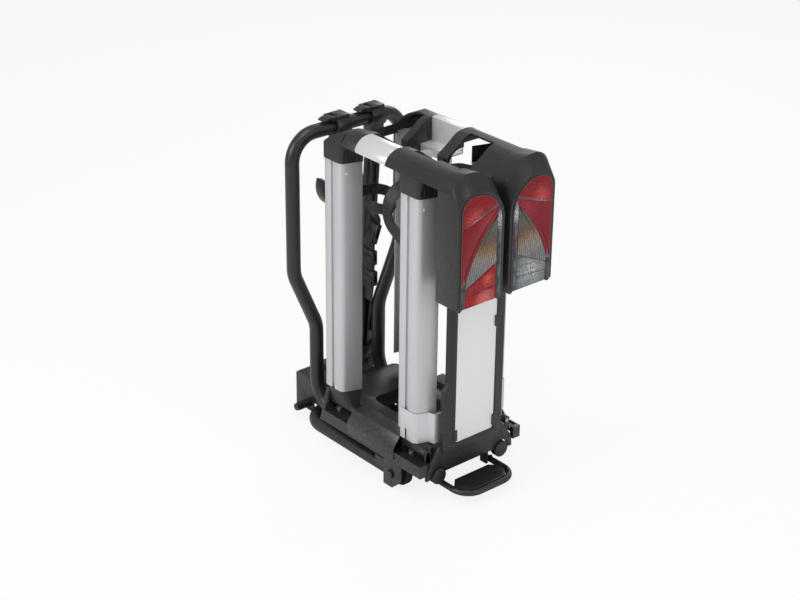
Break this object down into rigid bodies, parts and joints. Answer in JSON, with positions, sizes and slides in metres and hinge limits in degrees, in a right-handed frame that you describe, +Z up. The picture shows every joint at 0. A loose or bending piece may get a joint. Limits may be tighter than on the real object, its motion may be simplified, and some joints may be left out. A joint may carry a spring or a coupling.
{
  "type": "folding tow-bar bike carrier",
  "caption": "Folded two-bike tow-bar carrier: black tube frame, two upright wings with aluminium wheel rails, rear lights, blank number plate, clamp arms, tilt pivot and pedal.",
  "frame": {"origin": "middle of the footprint, on the ground", "axes": "+Z is up, +Y points at the vehicle, X runs across; the near wing stands at -X"},
  "size_m": [0.34, 0.618, 0.7795],
  "materials": {
    "black_tube": "satin",
    "black_sheet": "satin",
    "black_plastic": "fine grain",
    "rubber": "matte",
    "tyre": "matte",
    "strap": "matte",
    "aluminium": "satin anodised",
    "black_aluminium": "satin",
    "lens": "gloss",
    "reflector": "satin",
    "steel": "satin",
    "plate": "gloss"
  },
  "bodies": {
    "coupling_frame": {"lower_frame": "black_tube", "rest_buffers": "rubber", "axle_straps": "black_sheet", "coupling_housing": "black_plastic", "ball_socket": "steel"},
    "coupling_lever": {"coupling_lever": "black_plastic"},
    "adjuster": {"adjuster_knob": "black_plastic"},
    "wheel_near": {"wheel_near": "tyre"},
    "wheel_far": {"wheel_far": "tyre"},
    "platform": {"support_frame": "black_tube", "tube_caps": "black_plastic", "cross_beams": "black_tube", "channel_near": "black_sheet", "channel_far": "black_sheet", "platform_fasteners": "steel", "hinge_covers": "black_sheet", "deck": "black_plastic", "rear_panel": "black_plastic", "pivot_plates": "black_sheet", "pedal_ears": "black_sheet"},
    "pedal": {"pedal_bar": "black_tube", "pedal_pad": "black_plastic"},
    "wing_near": {"front_rail_near": "aluminium", "rear_rail_near": "aluminium", "rail_feet_near": "black_plastic", "front_corner_near": "black_plastic", "light_housing_near": "black_plastic", "lens_near": "lens", "lamp_tray_near": "reflector", "cross_profile_near": "aluminium", "sheet_bracket_near": "aluminium", "rivets_near": "steel", "wheel_strap_front_near": "strap", "wheel_strap_rear_near": "strap", "wheel_buckles_near": "black_plastic"},
    "wing_far": {"front_rail_far": "aluminium", "rear_rail_far": "aluminium", "rail_feet_far": "black_plastic", "front_corner_far": "black_plastic", "light_housing_far": "black_plastic", "lens_far": "lens", "lamp_tray_far": "reflector", "cross_profile_far": "aluminium", "sheet_bracket_far": "aluminium", "rivets_far": "steel", "wheel_strap_front_far": "strap", "wheel_strap_rear_far": "strap", "wheel_buckles_far": "black_plastic"},
    "plate_carrier": {"plate_holder": "black_plastic", "number_plate": "plate"},
    "frame_holder_near": {"clamp_near": "black_plastic", "short_arm": "black_aluminium", "claw_near": "black_plastic", "claw_strap_near": "strap"},
    "frame_holder_far": {"clamp_far": "black_plastic", "long_arm": "black_aluminium", "claw_far": "black_plastic", "claw_strap_far": "strap"},
    "clamp_lever_near": {"clamp_lever_near": "black_plastic"},
    "clamp_lever_far": {"clamp_lever_far": "black_plastic"}
  },
  "joints": [
    {"name": "coupling_lever_hinge", "type": "hinge", "parent": "coupling_frame", "child": "coupling_lever", "pos_m": [0, 0.19, 0.1], "axis": [1, 0, 0], "range_deg": [0, 60]},
    {"name": "adjuster_turn", "type": "hinge", "parent": "coupling_frame", "child": "adjuster", "pos_m": [-0.095, 0.259, 0.026], "axis": [1, 0, 0], "continuous": true},
    {"name": "wheel_near_spin", "type": "hinge", "parent": "coupling_frame", "child": "wheel_near", "pos_m": [-0.118, -0.121, 0.034], "axis": [1, 0, 0], "continuous": true},
    {"name": "wheel_far_spin", "type": "hinge", "parent": "coupling_frame", "child": "wheel_far", "pos_m": [0.118, -0.121, 0.034], "axis": [1, 0, 0], "continuous": true},
    {"name": "platform_tilt", "type": "hinge", "parent": "coupling_frame", "child": "platform", "pos_m": [0, -0.121, 0.034], "axis": [1, 0, 0], "range_deg": [0, 28]},
    {"name": "pedal_press", "type": "hinge", "parent": "platform", "child": "pedal", "pos_m": [0, -0.196, 0.026], "axis": [1, 0, 0], "range_deg": [0, 8], "stiffness_Nm_per_rad": 3},
    {"name": "wing_near_unfold", "type": "hinge", "parent": "platform", "child": "wing_near", "pos_m": [-0.117, 0, 0.113], "axis": [0, -1, 0], "range_deg": [0, 90]},
    {"name": "wing_far_unfold", "type": "hinge", "parent": "platform", "child": "wing_far", "pos_m": [0.117, 0, 0.113], "axis": [0, 1, 0], "range_deg": [0, 90]},
    {"name": "plate_slide", "type": "slide", "parent": "platform", "child": "plate_carrier", "axis": [0, 0, 1], "range_m": [0, 0.025]},
    {"name": "frame_holder_near_turn", "type": "hinge", "parent": "platform", "child": "frame_holder_near", "pos_m": [-0.024, 0.208, 0.723], "axis": [1, 0, 0], "range_deg": [0, 75]},
    {"name": "frame_holder_far_turn", "type": "hinge", "parent": "platform", "child": "frame_holder_far", "pos_m": [0.075, 0.208, 0.723], "axis": [1, 0, 0], "range_deg": [0, 75]},
    {"name": "clamp_lever_near_turn", "type": "hinge", "parent": "frame_holder_near", "child": "clamp_lever_near", "pos_m": [-0.049, 0.208, 0.745], "axis": [0, 1, 0], "range_deg": [0, 60]},
    {"name": "clamp_lever_far_turn", "type": "hinge", "parent": "frame_holder_far", "child": "clamp_lever_far", "pos_m": [0.05, 0.208, 0.745], "axis": [0, 1, 0], "range_deg": [0, 60]}
  ]
}
